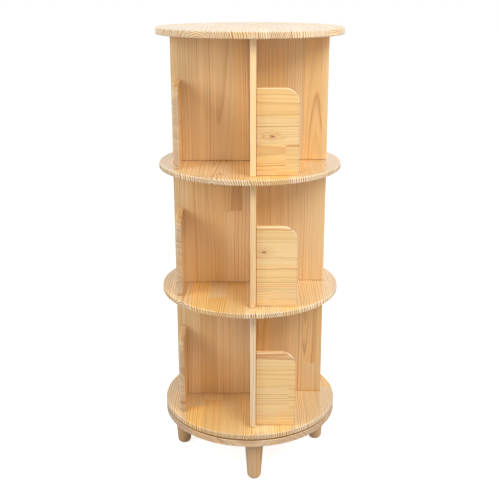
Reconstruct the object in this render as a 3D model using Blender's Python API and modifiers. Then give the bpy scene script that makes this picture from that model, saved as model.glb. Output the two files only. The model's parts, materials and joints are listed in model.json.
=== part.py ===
"""Three-tier revolving wooden display rack.

A round base stands on four turned legs.  On it a carousel turns without limit
on a ring bearing: a floor disc, two shelf discs and a top disc, held apart by
four upright partitions per tier that are set in a pinwheel round the axis.
Each partition carries a low stop panel that keeps the goods from sliding out.

Metres, +Z up, the turning axis is Z, and the rack stands on Z = 0.
The pieces of one quarter are made facing the front (-Y) and repeated by
turning them about the axis.
"""
import math

import bmesh
import bpy
from mathutils import Matrix, Vector

COLLECTION_NAME = "revolving_display_rack"

# Gap kept between two pieces that touch on the real rack.
GAP = 0.0003

# Discs.
DISC_RADIUS = 0.230
TOP_THICKNESS = 0.016
SHELF_THICKNESS = 0.013
BASE_THICKNESS = 0.017
DISC_EDGE_ROUND = 0.0015
DISC_SEGMENTS = 80

# Partitions and stop panels, all cut from flat board.
TIER_CLEAR_HEIGHT = 0.314
PARTITION_THICKNESS = 0.014
PARTITION_INSET = 0.035
STOP_THICKNESS = 0.013
STOP_HEIGHT = 0.2035
STOP_WIDTH = 0.0995
STOP_SETBACK = 0.012
STOP_CORNER_RADIUS = 0.035
BOARD_EDGE_ROUND = 0.0012

# Legs.
LEG_HEIGHT = 0.115
LEG_TOP_RADIUS = 0.0246
LEG_FOOT_RADIUS = 0.0180
LEG_FOOT_ROUND = 0.011
LEG_INSET = 0.046
LEG_TURN_DEG = 3.3
LEG_SEGMENTS = 32

# Leg fastening: a hanger bolt in a flanged nut let into the base from above.
BOLT_RADIUS = 0.004
BOLT_DEPTH_IN_LEG = 0.030
NUT_BARREL_RADIUS = 0.0055
NUT_FLANGE_RADIUS = 0.012
NUT_FLANGE_THICKNESS = 0.0015
NUT_BARREL_LENGTH = 0.011

# Ring bearing between base and floor.
TURN_GAP = 0.004
BALL_RADIUS = 0.0025
BALL_COUNT = 16
BEARING_SEGMENTS = 48
RING_WIDTH = 0.022
RING_TO_NUTS = 0.031
RING_THICKNESS = 0.003
RACE_DEPTH = 0.0012
CAGE_THICKNESS = 0.0014
CAGE_WIDTH = 0.009

# Dowels and screws that hold discs and partitions together.
DOWEL_RADIUS = 0.004
DOWEL_DEPTH_IN_BOARD = 0.020
DOWEL_DEPTH_IN_TOP = 0.010
DOWEL_PLACE = 0.060
SCREW_SHANK_RADIUS = 0.002
SCREW_HEAD_RADIUS = 0.004
SCREW_HEAD_HEIGHT = 0.0025
SCREW_DEPTH_IN_BOARD = 0.027
SMALL_SEGMENTS = 16

# Heights, from the floor up.
BASE_BOTTOM = LEG_HEIGHT
BASE_TOP = BASE_BOTTOM + BASE_THICKNESS
FLOOR_BOTTOM = BASE_TOP + TURN_GAP
TIER_PITCH = TIER_CLEAR_HEIGHT + SHELF_THICKNESS
TIER_FLOORS = {
    "lower": FLOOR_BOTTOM + SHELF_THICKNESS,
    "middle": FLOOR_BOTTOM + SHELF_THICKNESS + TIER_PITCH,
    "upper": FLOOR_BOTTOM + SHELF_THICKNESS + 2 * TIER_PITCH,
}
TOP_BOTTOM = TIER_FLOORS["upper"] + TIER_CLEAR_HEIGHT

# Distances from the axis.  The insets are measured inwards from the rim.
PARTITION_REACH = DISC_RADIUS - PARTITION_INSET
LEG_CIRCLE_RADIUS = DISC_RADIUS - LEG_INSET
RACE_RADIUS = LEG_CIRCLE_RADIUS - NUT_FLANGE_RADIUS - RING_TO_NUTS - RING_WIDTH / 2

# The bearing is thicker than the gap, so each disc takes half of the rest.
RING_SPACING = 2 * (BALL_RADIUS + GAP - RACE_DEPTH)
BEARING_HEIGHT = 2 * RING_THICKNESS + RING_SPACING
BEARING_MIDDLE = BASE_TOP + TURN_GAP / 2
RECESS_DEPTH = (BEARING_HEIGHT - TURN_GAP) / 2 + GAP

# The dowels of a partition sit on its middle plane, this far from the axis.
DOWEL_DISTANCE = PARTITION_REACH - DOWEL_PLACE
PARTITION_MIDDLE = GAP / 2 + PARTITION_THICKNESS / 2

# The floor screws stand between the bearing and the free ends of the partitions.
SCREW_DISTANCE = (RACE_RADIUS + RING_WIDTH / 2 + PARTITION_REACH) / 2

# Quarter turns, clockwise seen from above, that carry the front pieces round.
SIDES = {"front": 0, "left": -90, "back": -180, "right": -270}

MATERIALS = {
    "disc_wood": ((0.80, 0.58, 0.36), 0.45, 0.0),
    "board_wood": ((0.78, 0.55, 0.33), 0.50, 0.0),
    "leg_wood": ((0.74, 0.50, 0.29), 0.45, 0.0),
    "dowel_wood": ((0.76, 0.62, 0.44), 0.65, 0.0),
    "zinc_steel": ((0.66, 0.66, 0.64), 0.35, 1.0),
    "bearing_steel": ((0.55, 0.56, 0.57), 0.25, 1.0),
}


# Scene helpers.

def clear_scene():
    """Remove every object that the file opened with."""
    for obj in list(bpy.data.objects):
        bpy.data.objects.remove(obj, do_unlink=True)


def new_collection(name):
    """Make a collection in the scene."""
    collection = bpy.data.collections.new(name)
    bpy.context.scene.collection.children.link(collection)
    return collection


def make_material(name, color, roughness, metallic):
    """Make a plain Principled material."""
    material = bpy.data.materials.new(name)
    material.use_nodes = True
    shader = material.node_tree.nodes["Principled BSDF"]
    shader.inputs["Base Color"].default_value = (*color, 1.0)
    shader.inputs["Roughness"].default_value = roughness
    shader.inputs["Metallic"].default_value = metallic
    return material


def add_object(name, mesh, material, parent=None):
    """Put a mesh into the rack's collection under a name, with a material."""
    obj = bpy.data.objects.new(name, mesh)
    bpy.data.collections[COLLECTION_NAME].objects.link(obj)
    mesh.materials.clear()
    mesh.materials.append(bpy.data.materials[material])
    obj.parent = parent
    return obj


def mesh_from(bm, name):
    """Turn a bmesh into a mesh with outward faces and free the bmesh."""
    bmesh.ops.recalc_face_normals(bm, faces=bm.faces)
    mesh = bpy.data.meshes.new(name)
    bm.to_mesh(mesh)
    bm.free()
    return mesh


def shade_round(mesh):
    """Shade a round piece smooth and keep its edges sharp."""
    mesh.shade_smooth()
    mesh.set_sharp_from_angle(angle=math.radians(35))


def soften_edges(obj):
    """Break the sharp edges of a board."""
    bevel = obj.modifiers.new("edge_round", "BEVEL")
    bevel.width = BOARD_EDGE_ROUND
    bevel.segments = 1
    bevel.limit_method = "ANGLE"
    bevel.angle_limit = math.radians(60)


def cut(obj, cutter):
    """Subtract a cutter from an object."""
    boolean = obj.modifiers.new("cut", "BOOLEAN")
    boolean.operation = "DIFFERENCE"
    boolean.solver = "EXACT"
    boolean.object = cutter


# Shape helpers.

def box_bmesh(low, high):
    """A box between two corners."""
    low = Vector(low)
    high = Vector(high)
    bm = bmesh.new()
    bmesh.ops.create_cube(bm, size=1.0)
    bmesh.ops.scale(bm, vec=high - low, verts=bm.verts)
    bmesh.ops.translate(bm, vec=(low + high) / 2, verts=bm.verts)
    return bm


def add_cylinder(bm, radius, bottom, top, place=(0.0, 0.0)):
    """Add a closed upright cylinder to a bmesh."""
    bmesh.ops.create_cone(
        bm,
        cap_ends=True,
        segments=SMALL_SEGMENTS,
        radius1=radius,
        radius2=radius,
        depth=top - bottom,
        matrix=Matrix.Translation((*place, (bottom + top) / 2)),
    )


def turned_object(name, profile, material, parent=None, segments=DISC_SEGMENTS):
    """Turn a profile of (radius, height) points about Z.

    The outer side runs from top to bottom.  A profile that ends on its first
    point is a ring, and one that starts and ends on the axis is a solid.
    """
    closed = profile[0] == profile[-1]
    bm = bmesh.new()
    points = [bm.verts.new((radius, 0.0, height)) for radius, height in profile[: -1 if closed else None]]
    for upper, lower in zip(points, points[1:]):
        bm.edges.new((upper, lower))
    if closed:
        bm.edges.new((points[-1], points[0]))
    mesh = bpy.data.meshes.new(name)
    bm.to_mesh(mesh)
    bm.free()
    obj = add_object(name, mesh, material, parent)
    screw = obj.modifiers.new("turn", "SCREW")
    screw.axis = "Z"
    screw.steps = segments
    screw.render_steps = segments
    screw.use_merge_vertices = True
    screw.merge_threshold = 0.00001
    screw.use_smooth_shade = True
    return obj


def arc_points(center, radius, start_deg, end_deg, steps):
    """Points along an arc in the (radius, height) plane."""
    points = []
    for step in range(steps + 1):
        angle = math.radians(start_deg + (end_deg - start_deg) * step / steps)
        points.append((center[0] + radius * math.cos(angle), center[1] + radius * math.sin(angle)))
    return points


def cutter_object(name, bm):
    """Make a hidden cutter from a bmesh of closed bodies."""
    obj = bpy.data.objects.new(name, mesh_from(bm, name))
    bpy.data.collections["cutters"].objects.link(obj)
    obj.hide_render = True
    obj.display_type = "WIRE"
    return obj


def cut_holes(obj, name, radius, bottom, top, places):
    """Cut the same upright round hole at each place."""
    bm = bmesh.new()
    for place in places:
        add_cylinder(bm, radius, bottom, top, place)
    cut(obj, cutter_object(name, bm))


def quarter_turn(side):
    """The rotation that carries a front piece to a side."""
    return math.radians(SIDES[side])


def around(side, x, y):
    """The place of a front point after its quarter turn."""
    turned = Matrix.Rotation(quarter_turn(side), 3, "Z") @ Vector((x, y, 0.0))
    return turned.x, turned.y


def partition_places(distance):
    """A point on the middle plane of each partition, this far from the axis."""
    return [around(side, PARTITION_MIDDLE, -distance) for side in SIDES]


def leg_place(side):
    """The centre of a leg; the leg square stands turned a little against the carousel."""
    angle = quarter_turn(side) + math.radians(LEG_TURN_DEG) - math.pi / 2
    return LEG_CIRCLE_RADIUS * math.cos(angle), LEG_CIRCLE_RADIUS * math.sin(angle)


# Discs.

def disc_profile(bottom, top):
    """Half section of a disc with rounded rims."""
    rim = DISC_RADIUS - DISC_EDGE_ROUND
    outline = [(0.0, top)]
    outline += arc_points((rim, top - DISC_EDGE_ROUND), DISC_EDGE_ROUND, 90, 0, 2)
    outline += arc_points((rim, bottom + DISC_EDGE_ROUND), DISC_EDGE_ROUND, 0, -90, 2)
    outline.append((0.0, bottom))
    return outline


def cut_ring_recess(obj, name, bottom, top):
    """Cut the ring-shaped recess that clears the bearing."""
    half = RING_WIDTH / 2 + GAP
    outer = RACE_RADIUS + half
    inner = RACE_RADIUS - half
    section = [(inner, bottom), (outer, bottom), (outer, top), (inner, top)]
    bm = bmesh.new()
    verts = [bm.verts.new((radius, 0.0, height)) for radius, height in section]
    edges = [bm.edges.new(pair) for pair in zip(verts, verts[1:] + verts[:1])]
    bmesh.ops.spin(
        bm,
        geom=verts + edges,
        axis=(0.0, 0.0, 1.0),
        angle=math.tau,
        steps=DISC_SEGMENTS,
        use_merge=True,
    )
    bmesh.ops.remove_doubles(bm, verts=bm.verts, dist=0.00001)
    cut(obj, cutter_object(name, bm))


def make_top_disc(carousel):
    """The thick top board, with blind dowel holes from below."""
    profile = disc_profile(TOP_BOTTOM, TOP_BOTTOM + TOP_THICKNESS)
    disc = turned_object("top_disc", profile, "disc_wood", carousel)
    cut_holes(
        disc,
        "top_disc_holes",
        DOWEL_RADIUS + GAP,
        TOP_BOTTOM - GAP,
        TOP_BOTTOM + DOWEL_DEPTH_IN_TOP + GAP,
        partition_places(DOWEL_DISTANCE),
    )


def make_shelf_disc(name, bottom, carousel):
    """A shelf between two tiers, with a through hole for each dowel."""
    top = bottom + SHELF_THICKNESS
    disc = turned_object(name, disc_profile(bottom, top), "disc_wood", carousel)
    places = partition_places(DOWEL_DISTANCE)
    cut_holes(disc, name + "_holes", DOWEL_RADIUS + GAP, bottom - GAP, top + GAP, places)


def make_floor_disc(carousel):
    """The revolving floor, recessed for the bearing and bored for the floor screws."""
    bottom = FLOOR_BOTTOM
    top = FLOOR_BOTTOM + SHELF_THICKNESS
    disc = turned_object("floor_disc", disc_profile(bottom, top), "disc_wood", carousel)
    cut_ring_recess(disc, "floor_disc_recess", bottom - GAP, bottom + RECESS_DEPTH)
    places = partition_places(SCREW_DISTANCE)
    head_top = bottom + SCREW_HEAD_HEIGHT + GAP
    cut_holes(disc, "floor_disc_head_holes", SCREW_HEAD_RADIUS + GAP, bottom - GAP, head_top, places)
    cut_holes(disc, "floor_disc_shank_holes", SCREW_SHANK_RADIUS + GAP, bottom, top + GAP, places)


def make_base_disc():
    """The fixed base, recessed for the bearing and bored for the leg nuts."""
    disc = turned_object("base_disc", disc_profile(BASE_BOTTOM, BASE_TOP), "disc_wood")
    cut_ring_recess(disc, "base_disc_recess", BASE_TOP - RECESS_DEPTH, BASE_TOP + GAP)
    places = [leg_place(side) for side in SIDES]
    seat = BASE_TOP - NUT_FLANGE_THICKNESS - GAP
    cut_holes(disc, "base_disc_flange_holes", NUT_FLANGE_RADIUS + GAP, seat, BASE_TOP + GAP, places)
    cut_holes(disc, "base_disc_barrel_holes", NUT_BARREL_RADIUS + GAP, BASE_BOTTOM - GAP, BASE_TOP, places)


# Boards.

def partition_mesh(tier, name):
    """A full-height upright board that runs from the axis to the front."""
    bottom = TIER_FLOORS[tier] + GAP
    top = TIER_FLOORS[tier] + TIER_CLEAR_HEIGHT - GAP
    bm = box_bmesh(
        (GAP / 2, -PARTITION_REACH, bottom),
        (GAP / 2 + PARTITION_THICKNESS, -GAP / 2, top),
    )
    return mesh_from(bm, name)


def make_partition(tier, side, carousel):
    """One upright partition of a tier, bored in both ends."""
    name = f"{tier}_partition_{side}"
    board = add_object(name, partition_mesh(tier, name), "board_wood", carousel)
    soften_edges(board)
    board.rotation_euler.z = quarter_turn(side)
    bottom = TIER_FLOORS[tier]
    top = bottom + TIER_CLEAR_HEIGHT
    dowel = around(side, PARTITION_MIDDLE, -DOWEL_DISTANCE)
    screw = around(side, PARTITION_MIDDLE, -SCREW_DISTANCE)
    depth = DOWEL_DEPTH_IN_BOARD + GAP
    cut_holes(board, name + "_top_hole", DOWEL_RADIUS + GAP, top - depth, top + GAP, [dowel])
    if tier == "lower":
        depth = SCREW_DEPTH_IN_BOARD + GAP
        radius = SCREW_SHANK_RADIUS + GAP
        cut_holes(board, name + "_end_hole", radius, bottom - GAP, bottom + depth, [screw])
    else:
        radius = DOWEL_RADIUS + GAP
        cut_holes(board, name + "_end_hole", radius, bottom - GAP, bottom + depth, [dowel])


def stop_mesh(tier, name):
    """A low board beside a partition's free end, with one rounded top corner."""
    bottom = TIER_FLOORS[tier] + GAP
    near = GAP / 2 + PARTITION_THICKNESS + GAP
    outer = -PARTITION_REACH + STOP_SETBACK
    bm = box_bmesh(
        (near, outer, bottom),
        (near + STOP_WIDTH, outer + STOP_THICKNESS, bottom + STOP_HEIGHT),
    )
    far = max(vert.co.x for vert in bm.verts)
    high = max(vert.co.z for vert in bm.verts)
    corner = [e for e in bm.edges if all(v.co.x == far and v.co.z == high for v in e.verts)]
    bmesh.ops.bevel(
        bm,
        geom=corner,
        offset=STOP_CORNER_RADIUS,
        segments=10,
        profile=0.5,
        affect="EDGES",
    )
    return mesh_from(bm, name)


def make_stop(tier, side, carousel):
    """One stop panel of a tier."""
    name = f"{tier}_stop_{side}"
    board = add_object(name, stop_mesh(tier, name), "board_wood", carousel)
    soften_edges(board)
    board.rotation_euler.z = quarter_turn(side)


# Legs and their fastening.

def make_leg(side):
    """A turned leg that tapers to a rounded foot, bored for its bolt."""
    top = LEG_HEIGHT - GAP
    foot_center = (LEG_FOOT_RADIUS - LEG_FOOT_ROUND, LEG_FOOT_ROUND)
    profile = [(0.0, top), (LEG_TOP_RADIUS, top)]
    profile += arc_points(foot_center, LEG_FOOT_ROUND, 0, -90, 5)
    profile.append((0.0, 0.0))
    leg = turned_object(f"leg_{side}", profile, "leg_wood", segments=LEG_SEGMENTS)
    leg.location = (*leg_place(side), 0.0)
    bottom = LEG_HEIGHT - BOLT_DEPTH_IN_LEG - GAP
    cut_holes(leg, f"leg_{side}_hole", BOLT_RADIUS + GAP, bottom, LEG_HEIGHT + GAP, [leg_place(side)])


def make_leg_bolt(side):
    """The hanger bolt that stands in the leg and turns into the nut."""
    bm = bmesh.new()
    add_cylinder(bm, BOLT_RADIUS, LEG_HEIGHT - BOLT_DEPTH_IN_LEG, BASE_TOP - 2 * NUT_FLANGE_THICKNESS)
    mesh = mesh_from(bm, f"leg_bolt_{side}")
    shade_round(mesh)
    bolt = add_object(f"leg_bolt_{side}", mesh, "zinc_steel")
    bolt.location = (*leg_place(side), 0.0)


def make_leg_nut(side):
    """The flanged nut let into the top of the base."""
    flange_bottom = BASE_TOP - NUT_FLANGE_THICKNESS
    barrel_bottom = BASE_TOP - NUT_BARREL_LENGTH
    bore = BOLT_RADIUS + GAP
    profile = [
        (bore, BASE_TOP),
        (NUT_FLANGE_RADIUS, BASE_TOP),
        (NUT_FLANGE_RADIUS, flange_bottom),
        (NUT_BARREL_RADIUS, flange_bottom),
        (NUT_BARREL_RADIUS, barrel_bottom),
        (bore, barrel_bottom),
        (bore, BASE_TOP),
    ]
    nut = turned_object(f"leg_nut_{side}", profile, "zinc_steel", segments=SMALL_SEGMENTS)
    nut.location = (*leg_place(side), 0.0)


# Bearing.

def race_points(direction):
    """The groove that the balls run in, from outside to inside."""
    groove_radius = BALL_RADIUS + GAP
    center_height = groove_radius - RACE_DEPTH
    reach = math.degrees(math.acos(center_height / groove_radius))
    if direction > 0:
        return arc_points((RACE_RADIUS, center_height), groove_radius, -90 + reach, -90 - reach, 4)
    return arc_points((RACE_RADIUS, -center_height), groove_radius, 90 - reach, 90 + reach, 4)


def make_lower_ring():
    """The fixed ring, grooved on top."""
    face = BEARING_MIDDLE - RING_SPACING / 2
    outer = RACE_RADIUS + RING_WIDTH / 2
    inner = RACE_RADIUS - RING_WIDTH / 2
    groove = [(radius, face + height) for radius, height in race_points(1)]
    profile = [(inner, face), (inner, face - RING_THICKNESS)]
    profile += [(outer, face - RING_THICKNESS), (outer, face)]
    profile += groove
    profile.append((inner, face))
    turned_object("bearing_lower_ring", list(reversed(profile)), "bearing_steel", None, BEARING_SEGMENTS)


def make_upper_ring(carousel):
    """The turning ring, grooved below."""
    face = BEARING_MIDDLE + RING_SPACING / 2
    outer = RACE_RADIUS + RING_WIDTH / 2
    inner = RACE_RADIUS - RING_WIDTH / 2
    groove = [(radius, face + height) for radius, height in race_points(-1)]
    profile = [(inner, face), (inner, face + RING_THICKNESS)]
    profile += [(outer, face + RING_THICKNESS), (outer, face)]
    profile += groove
    profile.append((inner, face))
    turned_object("bearing_upper_ring", profile, "bearing_steel", carousel, BEARING_SEGMENTS)


def make_ball_cage(cage_pivot):
    """The ring of balls, with the thin cage that spaces them."""
    outer = RACE_RADIUS + CAGE_WIDTH / 2
    inner = RACE_RADIUS - CAGE_WIDTH / 2
    half = CAGE_THICKNESS / 2
    profile = [(inner, half), (outer, half), (outer, -half), (inner, -half), (inner, half)]
    cage = turned_object("bearing_ball_cage", profile, "bearing_steel", cage_pivot, BEARING_SEGMENTS)
    cage.location.z = BEARING_MIDDLE
    balls = bmesh.new()
    for index in range(BALL_COUNT):
        angle = math.tau * (index + 0.5) / BALL_COUNT
        place = Vector((RACE_RADIUS * math.cos(angle), RACE_RADIUS * math.sin(angle), 0.0))
        bmesh.ops.create_uvsphere(
            balls,
            u_segments=10,
            v_segments=6,
            radius=BALL_RADIUS,
            matrix=Matrix.Translation(place),
        )
    cutter = cutter_object("bearing_balls", balls)
    cutter.location.z = BEARING_MIDDLE
    union = cage.modifiers.new("balls", "BOOLEAN")
    union.operation = "UNION"
    union.solver = "EXACT"
    union.object = cutter


# Dowels and screws.

def make_pin(name, radius, bottom, top, side, material, carousel):
    """An upright round pin on a partition's middle plane."""
    bm = bmesh.new()
    add_cylinder(bm, radius, bottom, top, around(side, PARTITION_MIDDLE, -DOWEL_DISTANCE))
    mesh = mesh_from(bm, name)
    shade_round(mesh)
    add_object(name, mesh, material, carousel)


def make_dowels(side, carousel):
    """The dowels of one quarter: one into the top and one through each shelf."""
    top = TOP_BOTTOM
    make_pin(
        f"top_dowel_{side}",
        DOWEL_RADIUS,
        top - DOWEL_DEPTH_IN_BOARD,
        top + DOWEL_DEPTH_IN_TOP,
        side,
        "dowel_wood",
        carousel,
    )
    for shelf, tier_above in (("upper", "upper"), ("lower", "middle")):
        shelf_top = TIER_FLOORS[tier_above]
        make_pin(
            f"{shelf}_shelf_dowel_{side}",
            DOWEL_RADIUS,
            shelf_top - SHELF_THICKNESS - DOWEL_DEPTH_IN_BOARD,
            shelf_top + DOWEL_DEPTH_IN_BOARD,
            side,
            "dowel_wood",
            carousel,
        )


def make_floor_screw(side, carousel):
    """The screw that holds a lower partition to the floor from below."""
    place = around(side, PARTITION_MIDDLE, -SCREW_DISTANCE)
    profile = [
        (0.0, TIER_FLOORS["lower"] + SCREW_DEPTH_IN_BOARD),
        (SCREW_SHANK_RADIUS, TIER_FLOORS["lower"] + SCREW_DEPTH_IN_BOARD - SCREW_HEAD_RADIUS),
        (SCREW_SHANK_RADIUS, FLOOR_BOTTOM + SCREW_HEAD_HEIGHT),
        (SCREW_HEAD_RADIUS, FLOOR_BOTTOM + GAP),
        (0.0, FLOOR_BOTTOM + GAP),
    ]
    screw = turned_object(f"floor_screw_{side}", profile, "zinc_steel", carousel, SMALL_SEGMENTS)
    screw.location = (*place, 0.0)


def make_pivot(name):
    """An empty on the turning axis that carries what turns."""
    pivot = bpy.data.objects.new(name, None)
    bpy.data.collections[COLLECTION_NAME].objects.link(pivot)
    return pivot


def build():
    """Make the whole rack."""
    clear_scene()
    new_collection(COLLECTION_NAME)
    new_collection("cutters")
    for name, (color, roughness, metallic) in MATERIALS.items():
        make_material(name, color, roughness, metallic)
    carousel = make_pivot("carousel_pivot")
    cage_pivot = make_pivot("cage_pivot")

    make_top_disc(carousel)
    make_shelf_disc("upper_shelf", TIER_FLOORS["upper"] - SHELF_THICKNESS, carousel)
    make_shelf_disc("lower_shelf", TIER_FLOORS["middle"] - SHELF_THICKNESS, carousel)
    make_floor_disc(carousel)
    make_base_disc()

    for side in SIDES:
        for tier in TIER_FLOORS:
            make_partition(tier, side, carousel)
            make_stop(tier, side, carousel)
        make_dowels(side, carousel)
        make_floor_screw(side, carousel)
        make_leg(side)
        make_leg_bolt(side)
        make_leg_nut(side)

    make_lower_ring()
    make_upper_ring(carousel)
    make_ball_cage(cage_pivot)


build()
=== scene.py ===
import json
import math
import random

import bmesh
import bpy
from mathutils import Matrix, Vector


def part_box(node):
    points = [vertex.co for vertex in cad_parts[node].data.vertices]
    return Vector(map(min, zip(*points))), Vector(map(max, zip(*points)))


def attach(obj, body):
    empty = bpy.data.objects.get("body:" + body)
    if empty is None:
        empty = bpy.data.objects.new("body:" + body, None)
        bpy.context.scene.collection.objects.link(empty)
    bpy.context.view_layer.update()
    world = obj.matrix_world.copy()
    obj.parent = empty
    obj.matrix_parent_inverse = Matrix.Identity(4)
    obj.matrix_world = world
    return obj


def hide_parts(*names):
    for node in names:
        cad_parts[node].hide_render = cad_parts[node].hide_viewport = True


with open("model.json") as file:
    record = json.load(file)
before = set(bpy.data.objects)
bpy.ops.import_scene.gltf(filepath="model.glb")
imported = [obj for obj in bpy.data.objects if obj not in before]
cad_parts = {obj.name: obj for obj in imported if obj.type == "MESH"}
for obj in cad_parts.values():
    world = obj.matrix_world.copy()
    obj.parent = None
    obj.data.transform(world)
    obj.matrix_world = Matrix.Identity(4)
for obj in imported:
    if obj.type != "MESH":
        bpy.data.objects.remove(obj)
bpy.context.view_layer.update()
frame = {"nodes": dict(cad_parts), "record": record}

RECORD = frame["record"]
BODY_OF = {node: body for body, nodes in RECORD["behaviour"]["bodies"].items() for node in nodes}
SIDES = {"front": 0, "left": -90, "back": -180, "right": -270}
TIERS = ("upper", "middle", "lower")

# Grain directions of the boards.
ALONG_X = Vector((1, 0, 0))
ALONG_Y = Vector((0, 1, 0))
ALONG_Z = Vector((0, 0, 1))

# Rounding of the wooden edges.
DISC_ROUND = 0.0025
PARTITION_ROUND = 0.0018
STOP_ROUND = 0.0030
STOP_CORNER = 0.035
LEG_SHOULDER = 0.0012
LEG_FOOT_ROUND = 0.011

# How strongly the flat of a rim gets the painted highlight, where its rounded corners are 1.
RIM_PAINTED_HIGHLIGHT = 0.35

# Rounding of the two rims that face each other across the turning gap.
GAP_ROUND = 0.0012

# Play between a hole and what stands in it.
PLAY = 0.0003

# Screws, nuts and bearing.
SCREW_SHANK = 0.002
SCREW_HEAD_RISE = 1.15
SCREW_CORE = 0.8
BOLT_POINT = 0.006
WAIST_BELOW = 0.004
WAIST_ABOVE = 0.002
BOLT_WOOD_PITCH = 0.0030
MACHINE_PITCH = 0.00125
MACHINE_STEP = 0.00021
NUT_WOOD_PITCH = 0.0025
NUT_SLOT_DEPTH = 0.0009
NUT_SLOT_HALF_WIDTH = 0.0008
NUT_BARREL = 0.0055
NUT_FLANGE = 0.0015
RING_SCREWS = 6
RING_SCREW_LENGTH = 0.010
RING_SCREW_HEAD = 0.003
RING_SCREW_SHANK = 0.0014
RING_SCREW_INSET = 0.0046
BALL_COUNT = 16
BALL_PLAY = 0.0002
CAGE_HALF_WIDTH = 0.0045
CAGE_HALF_HEIGHT = 0.0007
BROKEN_EDGE = 0.0004

# Points further than this from the cage's middle plane belong to its balls or rims.
CLEAR_OF_MIDDLE = 0.0004

# Dowels.
DOWEL_CHAMFER = 0.0010
FLUTE_DEPTH = 0.00025
FLUTES = 14

# Edges that bend by more than this are rounded.
SHARP_DEG = 30

# Play between vertices that count as being on one plane.
ON_PLANE = 0.0001

# Finger joints of the staves: half a finger's pitch, and its length for each unit of that.
FINGER_PITCH = 0.0021
FINGER_SLOPE = 3.4

# Radii of a knot's core and edge, and how far the grain flows round it.
KNOT_CORE = 0.0012
KNOT_EDGE = 0.0040
KNOT_REACH = 0.022

# First seeds of the boards, legs and dowels.
PARTITION_SEED = 100
STOP_SEED = 300
LEG_SEED = 500
DOWEL_SEED = 600

# The photo's camera.
CAMERA_LENS = 58.0
CAMERA_SHIFT = -0.052
CAMERA_PLACE = (0.0, -2.012, 1.230)
CAMERA_TILT_DEG = 16.55

# The floor is a wide disc just under the feet.
FLOOR_RADIUS = 14.0
FLOOR_DROP = 0.0004

# Light of the surround, and glow that keeps the floor white to the eye.
AMBIENT = 0.36
FLOOR_GLOW = 0.80


# Attributes that the wood shaders read.

def grain_frame(along, thickness_axis):
    """Rows that turn a place into (along the grain, across the board, through it)."""
    across = thickness_axis.cross(along)
    return Matrix((along, across, thickness_axis))


def mark_wood(obj, frame_rows, center, seed, edge_highlight_share=None):
    """Store each point's place in the board, how each face was cut, and how strongly each face gets a painted
    edge highlight.
    """
    mesh = obj.data
    rng = random.Random(seed)
    shift = Vector((rng.uniform(-3, 3), rng.uniform(-3, 3), rng.uniform(-0.01, 0.01)))
    grain = mesh.attributes.new("grain", "FLOAT_VECTOR", "POINT")
    for vert, item in zip(mesh.vertices, grain.data):
        item.vector = frame_rows @ (vert.co - center) + shift
    cut_face = mesh.attributes.new("end_grain", "FLOAT", "FACE")
    # Painted highlight: a value per face that lightens rounded edges and rims in the wood shaders.
    edge = mesh.attributes.new("painted_edge_highlight", "FLOAT", "FACE")
    for index, face in enumerate(mesh.polygons):
        cut_face.data[index].value = abs(face.normal.dot(frame_rows[0]))
        edge.data[index].value = edge_highlight_share(face) if edge_highlight_share else 0.0


# Mesh helpers.

def mesh_object(name, bm):
    """Link a bmesh as an object with outward faces."""
    bmesh.ops.recalc_face_normals(bm, faces=bm.faces)
    mesh = bpy.data.meshes.new(name)
    bm.to_mesh(mesh)
    bm.free()
    obj = bpy.data.objects.new(name, mesh)
    bpy.context.scene.collection.objects.link(obj)
    return obj


def finish_mesh(obj, material, smooth_deg=50):
    """Give an object its material and shade it smooth between sharp edges."""
    mesh = obj.data
    mesh.materials.clear()
    mesh.materials.append(material)
    mesh.shade_smooth()
    mesh.set_sharp_from_angle(angle=math.radians(smooth_deg))
    weighted = obj.modifiers.new("weighted", "WEIGHTED_NORMAL")
    weighted.keep_sharp = True
    return obj


def cut_away(obj, cutters):
    """Subtract closed bodies from an object, one after another."""
    for bm in cutters:
        cutter = mesh_object("cutter", bm)
        boolean = obj.modifiers.new("cut", "BOOLEAN")
        boolean.operation = "DIFFERENCE"
        boolean.solver = "EXACT"
        boolean.object = cutter
        evaluated = obj.evaluated_get(bpy.context.evaluated_depsgraph_get())
        cut_mesh = bpy.data.meshes.new_from_object(evaluated)
        obj.modifiers.clear()
        old = obj.data
        obj.data = cut_mesh
        bpy.data.meshes.remove(old)
        cut_mesh.name = obj.name
        old = cutter.data
        bpy.data.objects.remove(cutter)
        bpy.data.meshes.remove(old)


def lathe(profile, segments, center=(0.0, 0.0)):
    """A turned bmesh from (radius, height) points: a solid, or a ring if the profile closes."""
    closed = profile[0] == profile[-1]
    bm = bmesh.new()
    verts = [bm.verts.new((radius, 0.0, height)) for radius, height in profile[:-1 if closed else None]]
    edges = [bm.edges.new(pair) for pair in zip(verts, verts[1:])]
    if closed:
        edges.append(bm.edges.new((verts[-1], verts[0])))
    bmesh.ops.spin(
        bm,
        geom=verts + edges,
        axis=(0.0, 0.0, 1.0),
        angle=math.tau,
        steps=segments,
        use_merge=True,
    )
    bmesh.ops.remove_doubles(bm, verts=bm.verts, dist=0.000001)
    bmesh.ops.translate(bm, vec=(center[0], center[1], 0.0), verts=bm.verts)
    return bm


def round_body(radius_at, heights, segments, center=(0.0, 0.0)):
    """A closed upright body whose radius depends on the height and on the share of a turn."""
    bm = bmesh.new()
    rows = []
    for height in heights:
        row = []
        for step in range(segments):
            turn = step / segments
            radius = radius_at(height, turn)
            angle = math.tau * turn
            place = (center[0] + radius * math.cos(angle), center[1] + radius * math.sin(angle), height)
            row.append(bm.verts.new(place))
        rows.append(row)
    for lower, upper in zip(rows, rows[1:]):
        for step in range(segments):
            after = (step + 1) % segments
            bm.faces.new((lower[step], lower[after], upper[after], upper[step]))
    bm.faces.new(rows[0])
    bm.faces.new(rows[-1])
    return bm


def spread(low, high, step):
    """Even heights from low to high, about a step apart."""
    count = max(1, round((high - low) / step))
    return [low + (high - low) * index / count for index in range(count + 1)]


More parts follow.
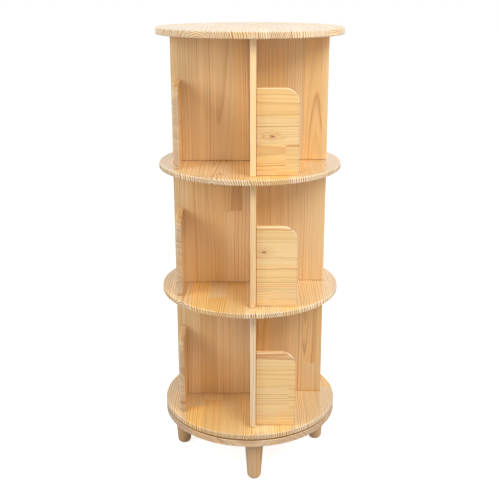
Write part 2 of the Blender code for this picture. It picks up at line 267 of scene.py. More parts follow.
def arc(center, radius, start_deg, end_deg, steps):
    """Points along an arc in the (radius, height) plane."""
    angles = [math.radians(start_deg + (end_deg - start_deg) * i / steps) for i in range(steps + 1)]
    return [(center[0] + radius * math.cos(a), center[1] + radius * math.sin(a)) for a in angles]


def box_bmesh(low, high):
    """A box between two corners."""
    bm = bmesh.new()
    bmesh.ops.create_cube(bm, size=1.0)
    bmesh.ops.scale(bm, vec=high - low, verts=bm.verts)
    bmesh.ops.translate(bm, vec=(low + high) / 2, verts=bm.verts)
    return bm


def round_edges(bm, width, segments=4):
    """Round every sharp edge of a bmesh."""
    sharp = [e for e in bm.edges if e.calc_face_angle(0.0) > math.radians(SHARP_DEG)]
    bmesh.ops.bevel(
        bm,
        geom=sharp,
        offset=width,
        segments=segments,
        profile=0.5,
        affect="EDGES",
    )


def center_of(node):
    """The upright middle line of a node."""
    low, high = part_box(node)
    return (low.x + high.x) / 2, (low.y + high.y) / 2


def stands_for(piece, node):
    """Let a visual piece ride and stand in for a CAD node."""
    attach(piece, BODY_OF[node])
    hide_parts(node)


# Node helpers for the materials.

class Tree:
    """A material's node tree with short calls for the nodes used here."""

    def __init__(self, name):
        self.material = bpy.data.materials.new(name)
        self.material.use_nodes = True
        self.nodes = self.material.node_tree.nodes
        self.links = self.material.node_tree.links
        self.shader = self.nodes["Principled BSDF"]

    def add(self, kind, **settings):
        node = self.nodes.new("ShaderNode" + kind)
        for key, value in settings.items():
            setattr(node, key, value)
        return node

    def put(self, value, socket):
        if isinstance(value, bpy.types.NodeSocket):
            self.links.new(value, socket)
        else:
            socket.default_value = value

    def math(self, operation, a, b=0.0, c=0.0, clamp=False):
        node = self.add("Math", operation=operation, use_clamp=clamp)
        for value, socket in zip((a, b, c), node.inputs):
            self.put(value, socket)
        return node.outputs[0]

    def attribute(self, name, output="Fac"):
        return self.add("Attribute", attribute_name=name).outputs[output]

    def split(self, vector):
        node = self.add("SeparateXYZ")
        self.put(vector, node.inputs[0])
        return node.outputs

    def join(self, x, y, z):
        node = self.add("CombineXYZ")
        for value, socket in zip((x, y, z), node.inputs):
            self.put(value, socket)
        return node.outputs[0]

    def stretch(self, parts, x, y, z):
        """A place scaled differently along each of its three parts."""
        return self.join(*(self.math("MULTIPLY", part, by) for part, by in zip(parts, (x, y, z))))

    def noise(self, vector, scale=1.0, detail=2.0, roughness=0.5):
        node = self.add("TexNoise")
        self.put(vector, node.inputs["Vector"])
        node.inputs["Scale"].default_value = scale
        node.inputs["Detail"].default_value = detail
        node.inputs["Roughness"].default_value = roughness
        return node.outputs["Fac"]

    def white(self, vector):
        node = self.add("TexWhiteNoise", noise_dimensions="3D")
        self.put(vector, node.inputs["Vector"])
        return node.outputs

    def band(self, value, low, high, out_low=0.0, out_high=1.0):
        node = self.add("MapRange", interpolation_type="SMOOTHSTEP")
        for number, socket in zip((value, low, high, out_low, out_high), node.inputs):
            self.put(number, socket)
        return node.outputs[0]

    def length(self, a, b):
        """The length of the hypotenuse over a and b."""
        return self.math("SQRT", self.math("ADD", self.math("POWER", a, 2.0), self.math("POWER", b, 2.0)))

    def mix(self, factor, a, b, blend="MIX"):
        node = self.add("Mix", data_type="RGBA", blend_type=blend, clamp_factor=True)
        self.put(factor, node.inputs[0])
        self.put(a, node.inputs[6])
        self.put(b, node.inputs[7])
        return node.outputs[2]

    def bump(self, height, strength, distance):
        node = self.add("Bump")
        node.inputs["Strength"].default_value = strength
        node.inputs["Distance"].default_value = distance
        self.put(height, node.inputs["Height"])
        self.put(node.outputs[0], self.shader.inputs["Normal"])


def srgb(red, green, blue):
    """A colour given in the usual 0 to 255 numbers, as linear light."""
    linear = []
    for channel in (red, green, blue):
        value = channel / 255
        linear.append(value / 12.92 if value <= 0.04045 else ((value + 0.055) / 1.055) ** 2.4)
    return (*linear, 1.0)


def pine(name, early, late, stave=0.045, length=0.32, ring=0.0055, contrast=0.55, tone=0.10,
         knots=0.0, aside=0.20, below=0.045, end_contrast=0.45, end_grey=0.22, end_dark=0.04,
         line=2.6, ripples=0.0016, regular=0.0, golden=(1.0, 0.90, 0.70, 1.0)):
    """Lacquered pine glued from finger-jointed staves, as a solid texture.

    early and late are the colours of the spring and summer wood, stave and
    length the size of the glued pieces, ring the mean width of a growth ring,
    tone how much the pieces differ, and knots the share of pieces with a knot.
    aside and below say how far off the heart of the log may lie, end_contrast,
    end_grey and end_dark how the cut ends differ, line how narrow the dark
    lines are, ripples how far they waver, regular how evenly they are spaced,
    and golden the tint of the warmest pieces.
    """
    t = Tree(name)
    along, across, through = t.split(t.attribute("grain", "Vector"))
    end = t.attribute("end_grain")
    # The painted edge highlight mask.
    edge = t.attribute("painted_edge_highlight")

    # A slow wander keeps lines from running dead straight.
    wander = t.noise(t.stretch((along, across, through), 4.0, 14.0, 1.0))
    wander = t.math("SUBTRACT", wander, 0.5)
    ripple = t.noise(t.stretch((along, across, through), 22.0, 60.0, 60.0))
    ripple = t.math("SUBTRACT", ripple, 0.5)

    # Which stave, and which finger-jointed length of it.
    stave_number = t.math("DIVIDE", across, stave)
    stave_index = t.math("FLOOR", stave_number)
    start = t.white(t.join(stave_index, 7.0, 3.0))[0]
    fingers = t.math("PINGPONG", across, FINGER_PITCH)
    joint_place = t.math("ADD", t.math("DIVIDE", along, length), start)
    joint_place = t.math("ADD", joint_place, t.math("MULTIPLY", fingers, FINGER_SLOPE / length))
    piece_index = t.math("FLOOR", joint_place)
    piece_value, piece_color = t.white(t.join(stave_index, piece_index, 1.0))
    pick_a, pick_b, pick_c = t.split(piece_color)
    in_stave = t.math("MULTIPLY", t.math("SUBTRACT", t.math("FRACT", stave_number), 0.5), stave)
    run = t.math("MULTIPLY", t.math("SUBTRACT", t.math("FRACT", joint_place), 0.5), length)

    # A knot in some of the pieces, with the grain flowing round it.
    knot_run = t.math("SUBTRACT", run, t.math("MULTIPLY_ADD", pick_b, 0.6 * length, -0.3 * length))
    knot_side = t.math("SUBTRACT", in_stave, t.math("MULTIPLY_ADD", pick_a, 0.6 * stave, -0.3 * stave))
    knot_far = t.length(t.math("MULTIPLY", knot_run, 0.55), knot_side)
    has_knot = t.math("LESS_THAN", pick_c, knots)
    knot = t.math("MULTIPLY", t.band(knot_far, KNOT_CORE, KNOT_EDGE, 1.0, 0.0), has_knot)
    halo = t.math("MULTIPLY", t.band(knot_far, 0.0, KNOT_REACH, 1.0, 0.0), has_knot)
    swell = t.math("MULTIPLY", t.math("SIGN", knot_side), t.math("MULTIPLY", halo, 0.007))

    # Growth rings are shells round the heart of the log that the stave was cut from.
    heart_aside = t.math("MULTIPLY_ADD", pick_a, aside, -aside / 2)
    heart_below = t.math("MULTIPLY_ADD", pick_b, below, 0.006)
    lean = t.math("MULTIPLY_ADD", pick_c, 0.07, -0.035)
    shell_v = t.math("ADD", t.math("SUBTRACT", in_stave, heart_aside), t.math("MULTIPLY", wander, 0.010))
    shell_v = t.math("ADD", t.math("SUBTRACT", shell_v, swell), t.math("MULTIPLY", ripple, ripples))
    shell_w = t.math("ADD", t.math("ADD", through, heart_below), t.math("MULTIPLY", lean, run))
    distance = t.length(shell_v, shell_w)
    width = t.math("MULTIPLY_ADD", piece_value, ring * 0.8, ring * 0.6)
    uneven = t.noise(t.join(distance, 0.0, piece_value), 55.0, 1.0, 0.5)
    count = t.math("ADD", t.math("DIVIDE", distance, width), t.math("MULTIPLY", uneven, 5.0 - 3.0 * regular))
    ring_index = t.math("FLOOR", count)
    ring_place = t.math("FRACT", count)
    ring_strength = t.math("POWER", t.white(t.join(ring_index, piece_value, stave_index))[0], 1.6)
    rise = t.band(ring_place, 0.10, 0.88)
    fall = t.band(ring_place, 0.88, 1.0, 1.0, 0.0)
    summer = t.math("MULTIPLY", t.math("POWER", rise, line), fall)
    ring_depth = t.math("MULTIPLY_ADD", ring_strength, 0.95 - 0.35 * regular, 0.25 + 0.30 * regular)
    summer = t.math("MULTIPLY", summer, ring_depth)

    # Fine fibres along the grain, and cloudy colour over the whole board.
    fibre = t.noise(t.stretch((along, across, through), 24.0, 1100.0, 1100.0), 1.0, 3.0, 0.6)
    streak = t.noise(t.stretch((along, across, through), 3.0, 160.0, 160.0))
    cloud = t.noise(t.stretch((along, across, through), 7.0, 26.0, 26.0), 1.0, 3.0, 0.5)

    strength = t.math("MULTIPLY", summer, t.math("MULTIPLY_ADD", cloud, 1.2, 0.4))
    strength = t.math("MULTIPLY", strength, t.math("MULTIPLY_ADD", end, end_contrast, contrast), clamp=True)
    # Painted highlight: edges and rims are mixed towards pale cream.
    spring = t.mix(t.math("MULTIPLY", edge, 0.60), early, srgb(248, 236, 216))
    color = t.mix(strength, spring, late)
    warm = t.mix(t.math("POWER", pick_c, 1.5), (1, 1, 1, 1), golden)
    color = t.mix(1.0, color, warm, "MULTIPLY")
    level = t.math("MULTIPLY_ADD", piece_value, tone, 1.0 - 0.6 * tone)
    for value, depth in ((cloud, 0.16), (streak, 0.18), (fibre, 0.14)):
        level = t.math("MULTIPLY", level, t.math("MULTIPLY_ADD", value, depth, 1.0 - depth / 2))
    # Painted highlight: the same mask brightens edges and rims a little more.
    level = t.math("MULTIPLY", level, t.math("MULTIPLY_ADD", edge, 0.05, 1.0))
    level = t.math("MULTIPLY", level, t.math("MULTIPLY_ADD", end, -end_dark, 1.0))
    glue_line = t.math("PINGPONG", across, stave / 2)
    level = t.math("MULTIPLY", level, t.band(glue_line, 0.0001, 0.0004, 0.90, 1.0))
    color = t.mix(1.0, color, t.join(level, level, level), "MULTIPLY")
    color = t.mix(t.math("MULTIPLY", end, end_grey), color, srgb(180, 162, 144))
    color = t.mix(t.math("MULTIPLY", halo, 0.35), color, srgb(214, 150, 88))
    color = t.mix(t.math("MULTIPLY", knot, 0.85), color, srgb(132, 78, 42))
    t.put(color, t.shader.inputs["Base Color"])

    rough = t.math("MULTIPLY_ADD", fibre, 0.12, 0.32)
    rough = t.math("MULTIPLY_ADD", end, 0.12, rough)
    rough = t.math("MULTIPLY_ADD", summer, -0.05, rough)
    t.put(rough, t.shader.inputs["Roughness"])
    t.shader.inputs["Coat Weight"].default_value = 0.60
    t.shader.inputs["Coat Roughness"].default_value = 0.18
    t.bump(t.math("MULTIPLY_ADD", fibre, 0.6, t.math("MULTIPLY", summer, 0.35)), 0.35, 0.00010)
    return t.material


def beech(name):
    """Plain dry beech with short dark flecks, for the dowels."""
    t = Tree(name)
    parts = t.split(t.attribute("grain", "Vector"))
    end = t.attribute("end_grain")
    flecks = t.noise(t.stretch(parts, 260.0, 2600.0, 2600.0), 1.0, 2.0, 0.5)
    cloud = t.noise(t.stretch(parts, 30.0, 260.0, 260.0))
    color = t.mix(cloud, srgb(205, 168, 126), srgb(226, 194, 154))
    fleck = t.math("MULTIPLY", t.band(flecks, 0.56, 0.68), 0.5)
    color = t.mix(fleck, color, srgb(158, 112, 74))
    dark = t.math("MULTIPLY_ADD", end, -0.22, 1.0)
    color = t.mix(1.0, color, t.join(dark, dark, dark), "MULTIPLY")
    t.put(color, t.shader.inputs["Base Color"])
    t.put(t.math("MULTIPLY_ADD", flecks, 0.2, 0.55), t.shader.inputs["Roughness"])
    t.bump(flecks, 0.4, 0.00008)
    return t.material


def metal(name, color, roughness, scratch_scale, wear):
    """Steel with fine scratches, clouded plating and brighter worn edges."""
    t = Tree(name)
    place = t.add("TexCoord").outputs["Object"]
    parts = t.split(place)
    scratch = t.noise(t.stretch(parts, scratch_scale, scratch_scale * 0.12, scratch_scale), 1.0, 3.0, 0.6)
    cloud = t.noise(place, 160.0, 3.0, 0.6)
    spots = t.band(t.noise(place, 900.0, 2.0, 0.5), 0.60, 0.72)
    edge = t.band(t.add("NewGeometry").outputs["Pointiness"], 0.51, 0.60)
    dark = tuple(value * 0.72 for value in color[:3]) + (1.0,)
    mixed = t.mix(cloud, dark, color)
    mixed = t.mix(t.math("MULTIPLY", spots, 0.35), mixed, dark)
    mixed = t.mix(t.math("MULTIPLY", edge, wear), mixed, srgb(232, 232, 228))
    t.put(mixed, t.shader.inputs["Base Color"])
    t.shader.inputs["Metallic"].default_value = 1.0
    rough = t.math("MULTIPLY_ADD", cloud, 0.16, roughness)
    t.put(t.math("MULTIPLY_ADD", scratch, 0.10, rough), t.shader.inputs["Roughness"])
    t.bump(scratch, 0.2, 0.00005)
    return t.material


# Holes for the dowels, screws, bolts and nuts.

def ring_span(node):
    """Inner and outer radius of a bearing ring."""
    reach = [math.hypot(v.co.x, v.co.y) for v in frame["nodes"][node].data.vertices]
    return min(reach), max(reach)


def pin_hole(node):
    """The round hole that clears a dowel or a bolt."""
    low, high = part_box(node)
    radius = (high.x - low.x) / 2 + PLAY
    profile = [(0.0, high.z + PLAY), (radius, high.z + PLAY), (radius, low.z - PLAY), (0.0, low.z - PLAY)]
    return lathe(profile, 32, center_of(node))


def upright_at(center, height, points_up):
    """Where a screw drawn from its head at the origin goes: point up or point down."""
    place = Matrix.Translation((*center, height))
    return place if points_up else place @ Matrix.Rotation(math.pi, 4, "X")


def countersunk_hole(length, head_radius, shank, place):
    """The hole that clears a countersunk screw, and the air before its head."""
    slope = (head_radius - shank) / SCREW_HEAD_RISE
    profile = [
        (0.0, length + PLAY),
        (shank + PLAY, length - shank),
        (shank + PLAY, slope + PLAY),
        (head_radius + PLAY, PLAY),
        (head_radius + PLAY, -2 * PLAY),
        (0.0, -2 * PLAY),
    ]
    hole = lathe(profile, 32)
    bmesh.ops.transform(hole, matrix=place, verts=hole.verts)
    return hole


def floor_screw_size(node):
    """Length, head radius and shank radius of a floor screw, and its place."""
    low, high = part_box(node)
    return high.z - low.z, (high.x - low.x) / 2, SCREW_SHANK, upright_at(center_of(node), low.z, True)


def floor_screw_hole(node):
    """The countersunk hole that clears a floor screw."""
    return countersunk_hole(*floor_screw_size(node))


def ring_screw_sizes(ring):
    """Length, head radius, shank radius and place of each screw of a bearing ring."""
    low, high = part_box(ring)
    radius = ring_span(ring)[1] - RING_SCREW_INSET
    points_up = high.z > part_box("bearing_ball_cage")[1].z
    face = low.z if points_up else high.z
    sizes = []
    for index in range(RING_SCREWS):
        angle = math.tau * (index + 0.5) / RING_SCREWS
        place = upright_at((radius * math.cos(angle), radius * math.sin(angle)), face, points_up)
        sizes.append((RING_SCREW_LENGTH, RING_SCREW_HEAD, RING_SCREW_SHANK, place))
    return sizes


def nut_hole(node):
    """The stepped hole that clears a leg's nut."""
    low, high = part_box(node)
    flange = (high.x - low.x) / 2 + PLAY
    barrel = NUT_BARREL + PLAY
    profile = [
        (0.0, high.z + PLAY),
        (flange, high.z + PLAY),
        (flange, high.z - NUT_FLANGE - PLAY),
        (barrel, high.z - NUT_FLANGE - PLAY),
        (barrel, low.z - PLAY),
        (0.0, low.z - PLAY),
    ]
    return lathe(profile, 48, center_of(node))


def holes_in(board):
    """The holes of every fastener that reaches into a board."""
    low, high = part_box(board)
    holes = []
    for kind, hole in (("dowel", pin_hole), ("floor_screw", floor_screw_hole), ("leg_bolt", pin_hole),
                       ("leg_nut", nut_hole)):
        for node in sorted(frame["nodes"]):
            if kind not in node:
                continue
            under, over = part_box(node)
            if all(under[axis] < high[axis] and over[axis] > low[axis] for axis in range(3)):
                holes.append(hole(node))
    return holes


# Wooden pieces.

def make_disc(node, material, along, seed, bearing_ring=None):
    """A round board with softly rounded rims, recessed for a bearing ring on one side."""
    low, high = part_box(node)
    upper_round = lower_round = DISC_ROUND
    upper = [(0.0, high.z), (high.x / 2, high.z)]
    lower = [(high.x / 2, low.z), (0.0, low.z)]
    holes = holes_in(node)
    if bearing_ring:
        inner, outer = ring_span(bearing_ring)
        ring_low, ring_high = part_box(bearing_ring)
        holes += [countersunk_hole(*size) for size in ring_screw_sizes(bearing_ring)]
        if ring_low.z < low.z:
            lower_round = GAP_ROUND
            depth = ring_high.z + PLAY
            lower = [(outer + PLAY, low.z), (outer + PLAY, depth), (inner - PLAY, depth),
                     (inner - PLAY, low.z), (0.0, low.z)]
        else:
            upper_round = GAP_ROUND
            depth = ring_low.z - PLAY
            upper = [(0.0, high.z), (inner - PLAY, high.z), (inner - PLAY, depth),
                     (outer + PLAY, depth), (outer + PLAY, high.z)]
    profile = upper
    profile += arc((high.x - upper_round, high.z - upper_round), upper_round, 90, 0, 6)
    profile += arc((high.x - lower_round, low.z + lower_round), lower_round, 0, -90, 6)
    profile += lower
    disc = mesh_object(node + "_board", lathe(profile, 256))
    cut_away(disc, holes)
    mark_wood(
        disc,
        grain_frame(along, ALONG_Z),
        Vector((0, 0, (low.z + high.z) / 2)),
        seed,
        # Painted highlight: the rim flats are lightened part way and the rounded rim corners fully.
        lambda face: RIM_PAINTED_HIGHLIGHT if abs(face.normal.z) < 0.2 else float(abs(face.normal.z) < 0.97),
    )
    finish_mesh(disc, material)
    stands_for(disc, node)


def radial_axes(side):
    """Outward and sideways directions of a side's partition."""
    turn = Matrix.Rotation(math.radians(SIDES[side]), 3, "Z")
    return turn @ Vector((0, -1, 0)), turn @ Vector((1, 0, 0))


def make_partition(node, side, material, seed):
    """A full-height board with softly rounded edges, bored in both ends."""
    low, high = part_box(node)
    bm = box_bmesh(low, high)
    round_edges(bm, PARTITION_ROUND)
    board = mesh_object(node + "_board", bm)
    cut_away(board, holes_in(node))
    sideways = radial_axes(side)[1]
    mark_wood(
        board,
        grain_frame(ALONG_Z, sideways),
        (low + high) / 2,
        seed,
        # Painted highlight on every face but the two broad ones.
        lambda face: 0.6 if abs(face.normal.dot(sideways)) < 0.98 else 0.0,
    )
    finish_mesh(board, material)
    stands_for(board, node)


def make_stop(node, side, material, seed):
    """A low board with its outer top corner rounded in the board's plane."""
    low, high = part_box(node)
    bm = box_bmesh(low, high)
    outward, sideways = radial_axes(side)
    far = max(v.co.dot(sideways) for v in bm.verts)
    corner = [
        e for e in bm.edges
        if all(abs(v.co.dot(sideways) - far) < ON_PLANE and abs(v.co.z - high.z) < ON_PLANE for v in e.verts)
    ]
    bmesh.ops.bevel(
        bm,
        geom=corner,
        offset=STOP_CORNER,
        segments=24,
        profile=0.5,
        affect="EDGES",
    )
    round_edges(bm, STOP_ROUND)
    board = mesh_object(node + "_board", bm)
    mark_wood(
        board,
        grain_frame(sideways, outward),
        (low + high) / 2,
        seed,
        # Painted highlight on the rounded edges.
        lambda face: float(0.02 < abs(face.normal.dot(outward)) < 0.98),
    )
    finish_mesh(board, material)
    stands_for(board, node)


def make_leg(node, material, seed):
    """A turned leg with a small shoulder at the top and a rounded foot."""
    low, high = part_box(node)
    top_radius = (high.x - low.x) / 2
    center = center_of(node)
    below_shoulder = [
        math.hypot(v.co.x - center[0], v.co.y - center[1])
        for v in frame["nodes"][node].data.vertices if v.co.z < high.z / 2
    ]
    foot_radius = max(below_shoulder)
    profile = [(0.0, high.z), (top_radius - LEG_SHOULDER, high.z)]
    profile += arc((top_radius - LEG_SHOULDER, high.z - LEG_SHOULDER), LEG_SHOULDER, 60, 0, 3)
    for share in (0.2, 0.4, 0.6, 0.8):
        height = high.z + (LEG_FOOT_ROUND - high.z) * share
        profile.append((top_radius + (foot_radius - top_radius) * share, height))
    profile += arc((foot_radius - LEG_FOOT_ROUND, LEG_FOOT_ROUND), LEG_FOOT_ROUND, 0, -90, 10)
    profile.append((0.0, low.z))
    leg = mesh_object(node + "_turned", lathe(profile, 64, center))
    cut_away(leg, holes_in(node))
    mark_wood(leg, grain_frame(ALONG_Z, ALONG_Y), Vector((*center, 0.0)), seed)
    finish_mesh(leg, material)
    stands_for(leg, node)


def make_dowel(node, material, seed):
    """A fluted dowel with chamfered ends."""
    low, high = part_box(node)
    radius = (high.x - low.x) / 2

    def radius_at(height, turn):
        groove = FLUTE_DEPTH * max(0.0, math.cos(math.tau * FLUTES * turn)) ** 0.5
        end = min(height - low.z, high.z - height)
        return min(radius - groove, radius - DOWEL_CHAMFER + end * 0.8)

    heights = [low.z, low.z + DOWEL_CHAMFER / 2, low.z + DOWEL_CHAMFER * 1.3]
    heights += spread(low.z + 0.004, high.z - 0.004, 0.008)
    heights += [high.z - DOWEL_CHAMFER * 1.3, high.z - DOWEL_CHAMFER / 2, high.z]
    center = center_of(node)
    dowel = mesh_object(node + "_fluted", round_body(radius_at, heights, 84, center))
    mark_wood(dowel, grain_frame(ALONG_Z, ALONG_Y), Vector((*center, 0.0)), seed)
    finish_mesh(dowel, material, 35)
    stands_for(dowel, node)


# Steel pieces.

def thread_wave(height, turn, pitch):
    """Height of a thread between root 0 and crest 1, at a height and a share of a turn."""
    phase = (height / pitch - turn) % 1.0
    return min(1.0, max(0.0, 1.5 - 3.0 * abs(phase - 0.5)))


def screw_object(name, length, head_radius, shank, place, material):
    """A countersunk wood screw with a cross recess in its head."""
    rim = 0.0004
    head_end = rim + (head_radius - shank * SCREW_CORE) / SCREW_HEAD_RISE
    plain_end = head_end + length * 0.12
    point = shank * 2.5
    pitch = shank * 0.8

    def radius_at(height, turn):
        if height <= head_end:
            return head_radius - max(0.0, height - rim) * SCREW_HEAD_RISE
        core = shank * SCREW_CORE
        if height >= plain_end:
            core = shank * (0.70 + 0.30 * thread_wave(height, turn, pitch))
        return max(0.00012, core * min(1.0, (length - height) / point))

    heights = [0.0] + spread(rim, head_end, 0.0004) + spread(head_end + rim, length, pitch / 6)
    screw = mesh_object(name, round_body(radius_at, heights, 24))
    recess = []
    for angle in (0, 90):
        arm = box_bmesh(
            Vector((-head_radius * 0.55, -head_radius * 0.11, -0.001)),
            Vector((head_radius * 0.55, head_radius * 0.11, head_radius * 0.45)),
        )
        for vert in arm.verts:
            if vert.co.z > 0:
                vert.co.x *= 0.45
        bmesh.ops.rotate(arm, verts=arm.verts, matrix=Matrix.Rotation(math.radians(angle + 20), 3, "Z"))
        recess.append(arm)
    cut_away(screw, recess)
    screw.data.transform(place)
    return finish_mesh(screw, material, 40)


def make_floor_screw(node, material):
    """The screw that holds a lower partition to the floor from below."""
    stands_for(screw_object(node + "_threaded", *floor_screw_size(node), material), node)


def make_leg_bolt(node, material):
    """A hanger bolt: a coarse wood thread below, a plain waist, a machine thread above."""
    low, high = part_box(node)
    radius = (high.x - low.x) / 2
    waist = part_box("base_disc")[0].z

    def radius_at(height, turn):
        if height < waist - WAIST_BELOW:
            crest = thread_wave(height, turn, BOLT_WOOD_PITCH)
            taper = min(1.0, 0.25 + 0.75 * (height - low.z) / BOLT_POINT)
            return radius * (0.74 + 0.26 * crest) * taper
        if height < waist + WAIST_ABOVE:
            return radius * 0.92
        crest = thread_wave(height, turn, MACHINE_PITCH)
        chamfer = radius * 0.80 + (high.z - height)
        return min(radius * (0.87 + 0.12 * crest), chamfer)

    heights = spread(low.z, waist - WAIST_BELOW, 0.0005)[:-1] + [waist - WAIST_BELOW, waist + WAIST_ABOVE]
    heights += spread(waist + 0.0021, high.z, MACHINE_STEP)
    bolt = mesh_object(node + "_threaded", round_body(radius_at, heights, 24, center_of(node)))
    finish_mesh(bolt, material, 60)
    stands_for(bolt, node)


def make_leg_nut(node, bolt, material):
    """A flanged insert nut with a wood thread outside and a machine thread in its bore."""
    low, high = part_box(node)
    flange = (high.x - low.x) / 2
    center = center_of(node)
    bore = (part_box(bolt)[1].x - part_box(bolt)[0].x) / 2 + PLAY

    def radius_at(height, turn):
        if height > high.z - NUT_FLANGE:
            return flange - max(0.0, height - high.z + 0.0004)
        crest = thread_wave(height, turn, NUT_WOOD_PITCH)
        return min(NUT_BARREL * (0.88 + 0.12 * crest), NUT_BARREL * 0.85 + (height - low.z))

    heights = spread(low.z, high.z - NUT_FLANGE - 0.00001, 0.0004)
    heights += [high.z - NUT_FLANGE + 0.00001, high.z - 0.0004, high.z]
    nut = mesh_object(node + "_threaded", round_body(radius_at, heights, 48, center))

    def bore_at(height, turn):
        return bore + 0.0005 * thread_wave(height, turn, MACHINE_PITCH)

    drill = round_body(bore_at, spread(low.z - 0.001, high.z + 0.001, MACHINE_STEP), 24, center)
    slot = box_bmesh(
        Vector((-flange * 0.8, -NUT_SLOT_HALF_WIDTH, -NUT_SLOT_DEPTH)),
        Vector((flange * 0.8, NUT_SLOT_HALF_WIDTH, 0.001)),
    )
    bmesh.ops.rotate(slot, verts=slot.verts, matrix=Matrix.Rotation(math.radians(25), 3, "Z"))
    bmesh.ops.translate(slot, vec=(*center, high.z), verts=slot.verts)
    cut_away(nut, [drill, slot])
    finish_mesh(nut, material, 40)
    stands_for(nut, node)


def make_bearing_ring(node, ball_radius, ball_height, material, screw_material):
    """A flat ring with broken edges, a round groove for the balls, and its screws."""
    low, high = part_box(node)
    inner, outer = ring_span(node)
    race = (inner + outer) / 2
    face, back = (high.z, low.z) if high.z < ball_height else (low.z, high.z)
    toward = 1 if face > back else -1
    groove = ball_radius + PLAY
    sink = abs(ball_height - face)
    reach = math.degrees(math.acos(sink / groove))
    soft = BROKEN_EDGE
    mid = -90 * toward
    profile = [(outer, face - toward * soft), (outer - soft, face)]
    profile += arc((race, ball_height), groove, mid + toward * reach, mid - toward * reach, 10)
    profile += [(inner + soft, face), (inner, face - toward * soft)]
    profile += [(inner, back + toward * soft), (inner + soft, back)]
    profile += [(outer - soft, back), (outer, back + toward * soft)]
    profile.append(profile[0])
    ring = mesh_object(node + "_turned", lathe(profile, 192))
    sizes = ring_screw_sizes(node)
    cut_away(ring, [countersunk_hole(*size) for size in sizes])
    finish_mesh(ring, material, 25)
    stands_for(ring, node)
    for index, size in enumerate(sizes):
        screw = screw_object(f"{node}_screw_{index + 1}", *size, screw_material)
        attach(screw, BODY_OF[node])


def make_ball_cage(node, material):
    """The pierced cage, and the balls that roll in it."""
    low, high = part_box(node)
    ball_radius = (high.z - low.z) / 2
    middle = (low.z + high.z) / 2
    verts = frame["nodes"][node].data.vertices
    rim = [math.hypot(v.co.x, v.co.y) for v in verts if abs(v.co.z - middle) > CLEAR_OF_MIDDLE]
    race = (min(rim) + max(rim)) / 2
    soft = 0.0003
    profile = []
    for x, z, start in ((1, 1, 90), (1, -1, 0), (-1, -1, -90), (-1, 1, -180)):
        corner = (race + x * (CAGE_HALF_WIDTH - soft), middle + z * (CAGE_HALF_HEIGHT - soft))
        profile += arc(corner, soft, start, start - 90, 3)
    profile.append(profile[0])
    cage = mesh_object(node + "_cage", lathe(profile, 192))
    windows = bmesh.new()
    balls = bmesh.new()
    for index in range(BALL_COUNT):
        angle = math.tau * (index + 0.5) / BALL_COUNT
        place = Matrix.Translation((race * math.cos(angle), race * math.sin(angle), middle))
        bmesh.ops.create_cone(
            windows,
            cap_ends=True,
            segments=32,
            radius1=ball_radius + BALL_PLAY,
            radius2=ball_radius + BALL_PLAY,
            depth=4 * CAGE_HALF_HEIGHT,
            matrix=place,
        )
        bmesh.ops.create_uvsphere(balls, u_segments=32, v_segments=16, radius=ball_radius, matrix=place)
    cut_away(cage, [windows])
    finish_mesh(cage, material, 40)
    stands_for(cage, node)
    rollers = finish_mesh(mesh_object(node + "_balls", balls), material)
    stands_for(rollers, node)
    return ball_radius, middle


# Stage.

def make_camera():
    """The photo's camera: two metres off, a little above the top board, tilted down."""
    data = bpy.data.cameras.new("camera")
    data.sensor_width = 36.0
    data.lens = CAMERA_LENS
    data.shift_y = CAMERA_SHIFT
    camera = bpy.data.objects.new("camera", data)
    camera.location = CAMERA_PLACE
    camera.rotation_euler = (math.radians(90 - CAMERA_TILT_DEG), 0.0, 0.0)
    bpy.context.scene.collection.objects.link(camera)
    bpy.context.scene.camera = camera


def area_light(name, place, target, size, power, color=(1, 1, 1)):
    """A soft square light that looks at a target."""
    data = bpy.data.lights.new(name, "AREA")
    data.shape = "SQUARE"
    data.size = size
    data.energy = power
    data.color = color
    light = bpy.data.objects.new(name, data)
    light.location = place
    light.rotation_euler = (Vector(target) - Vector(place)).to_track_quat("-Z", "Y").to_euler()
    bpy.context.scene.collection.objects.link(light)


def make_floor():
    """A pale floor, seen nearly as white as the surround."""
    t = Tree("pale_floor")
    t.shader.inputs["Base Color"].default_value = (0.62, 0.62, 0.62, 1.0)
    t.shader.inputs["Roughness"].default_value = 0.9
    t.shader.inputs["Emission Color"].default_value = (1.0, 1.0, 1.0, 1.0)
    t.put(
        t.math("MULTIPLY", t.add("LightPath").outputs["Is Camera Ray"], FLOOR_GLOW),
        t.shader.inputs["Emission Strength"],
    )
    bm = bmesh.new()
    bmesh.ops.create_circle(bm, cap_ends=True, segments=64, radius=FLOOR_RADIUS)
    floor = mesh_object("floor", bm)
    floor.data.materials.append(t.material)
    floor.location.z = -FLOOR_DROP


def make_world():
    """A white surround that is seen and mirrored brighter than it lights."""
    world = bpy.data.worlds.new("studio")
    bpy.context.scene.world = world
    world.use_nodes = True
    nodes = world.node_tree.nodes
    links = world.node_tree.links
    background = nodes["Background"]
    background.inputs["Color"].default_value = (1.0, 1.0, 1.0, 1.0)
    paths = nodes.new("ShaderNodeLightPath")
    seen = nodes.new("ShaderNodeMath")
    seen.operation = "MAXIMUM"
    links.new(paths.outputs["Is Camera Ray"], seen.inputs[0])
    links.new(paths.outputs["Is Glossy Ray"], seen.inputs[1])
    strength = nodes.new("ShaderNodeMapRange")
    strength.inputs["To Min"].default_value = AMBIENT
    strength.inputs["To Max"].default_value = 1.0
    links.new(seen.outputs[0], strength.inputs["Value"])
    links.new(strength.outputs[0], background.inputs["Strength"])


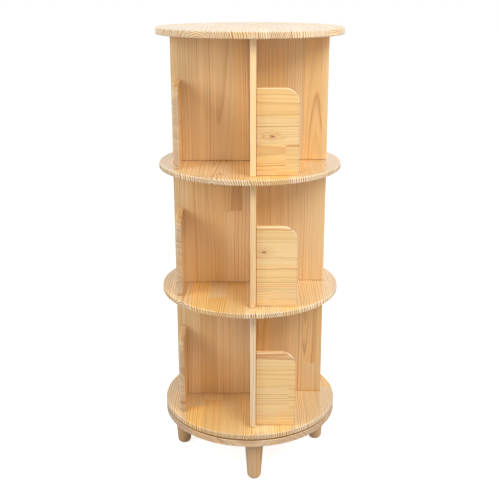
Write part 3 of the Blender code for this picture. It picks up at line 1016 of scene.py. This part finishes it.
def make_lights():
    """Soft boxes above, in front and to both sides."""
    area_light("key", (1.1, -1.6, 2.4), (0.0, 0.0, 0.7), 1.2, 38.0, (1.0, 0.985, 0.96))
    area_light("top", (0.0, 0.1, 2.6), (0.0, 0.0, 0.0), 1.6, 2.0)
    area_light("left", (-2.0, -1.2, 1.9), (0.0, 0.0, 0.7), 1.4, 33.0)
    area_light("right", (2.1, -0.4, 1.5), (0.0, 0.0, 0.6), 1.4, 16.0)


# Build.

make_camera()
make_floor()
make_world()
make_lights()
bpy.context.scene.view_settings.view_transform = "Standard"

disc_pine = pine("disc_pine", srgb(246, 217, 167), srgb(166, 104, 56), ring=0.0046, contrast=0.62,
                 tone=0.14, knots=0.12, aside=0.44, below=0.016, end_contrast=1.1, end_grey=0.12,
                 end_dark=0.05, line=2.2, ripples=0.0024, regular=1.0, golden=(1.0, 0.85, 0.50, 1.0))
base_pine = pine("base_pine", srgb(212, 172, 122), srgb(160, 102, 58), ring=0.0050, contrast=0.60, knots=0.10)
board_pine = pine("board_pine", srgb(242, 208, 156), srgb(182, 122, 66), length=1.1, contrast=0.55, tone=0.12,
                  knots=0.06, ripples=0.0022)
stop_pine = pine("stop_pine", srgb(244, 208, 148), srgb(192, 120, 56), stave=0.060, length=0.34, tone=0.08,
                 ring=0.0062, contrast=0.62, knots=0.16, end_contrast=1.30, end_grey=0.50, end_dark=0.16,
                 line=4.0, ripples=0.0036)
leg_pine = pine("leg_pine", srgb(216, 178, 132), srgb(178, 128, 80), stave=0.30, length=2.0, tone=0.05,
                contrast=0.50)
dowel_beech = beech("dowel_beech")
zinc = metal("zinc_plate", srgb(200, 202, 200), 0.22, 900.0, 0.5)
steel = metal("oiled_steel", srgb(168, 170, 174), 0.14, 700.0, 0.35)

make_disc("top_disc", disc_pine, ALONG_Y, 11)
make_disc("upper_shelf", disc_pine, ALONG_Y, 12)
make_disc("lower_shelf", disc_pine, ALONG_Y, 13)
make_disc("floor_disc", disc_pine, ALONG_Y, 24, "bearing_upper_ring")
make_disc("base_disc", base_pine, ALONG_X, 15, "bearing_lower_ring")

for tier_index, tier in enumerate(TIERS):
    for side_index, side in enumerate(SIDES):
        number = 10 * tier_index + side_index
        make_partition(f"{tier}_partition_{side}", side, board_pine, PARTITION_SEED + number)
        make_stop(f"{tier}_stop_{side}", side, stop_pine, STOP_SEED + number)

for side_index, side in enumerate(SIDES):
    make_leg(f"leg_{side}", leg_pine, LEG_SEED + side_index)
    make_leg_bolt(f"leg_bolt_{side}", zinc)
    make_leg_nut(f"leg_nut_{side}", f"leg_bolt_{side}", zinc)
    make_floor_screw(f"floor_screw_{side}", zinc)
    for place_index, place in enumerate(("top", "upper_shelf", "lower_shelf")):
        make_dowel(f"{place}_dowel_{side}", dowel_beech, DOWEL_SEED + 10 * place_index + side_index)

ball_radius, ball_height = make_ball_cage("bearing_ball_cage", steel)
make_bearing_ring("bearing_lower_ring", ball_radius, ball_height, steel, zinc)
make_bearing_ring("bearing_upper_ring", ball_radius, ball_height, steel, zinc)
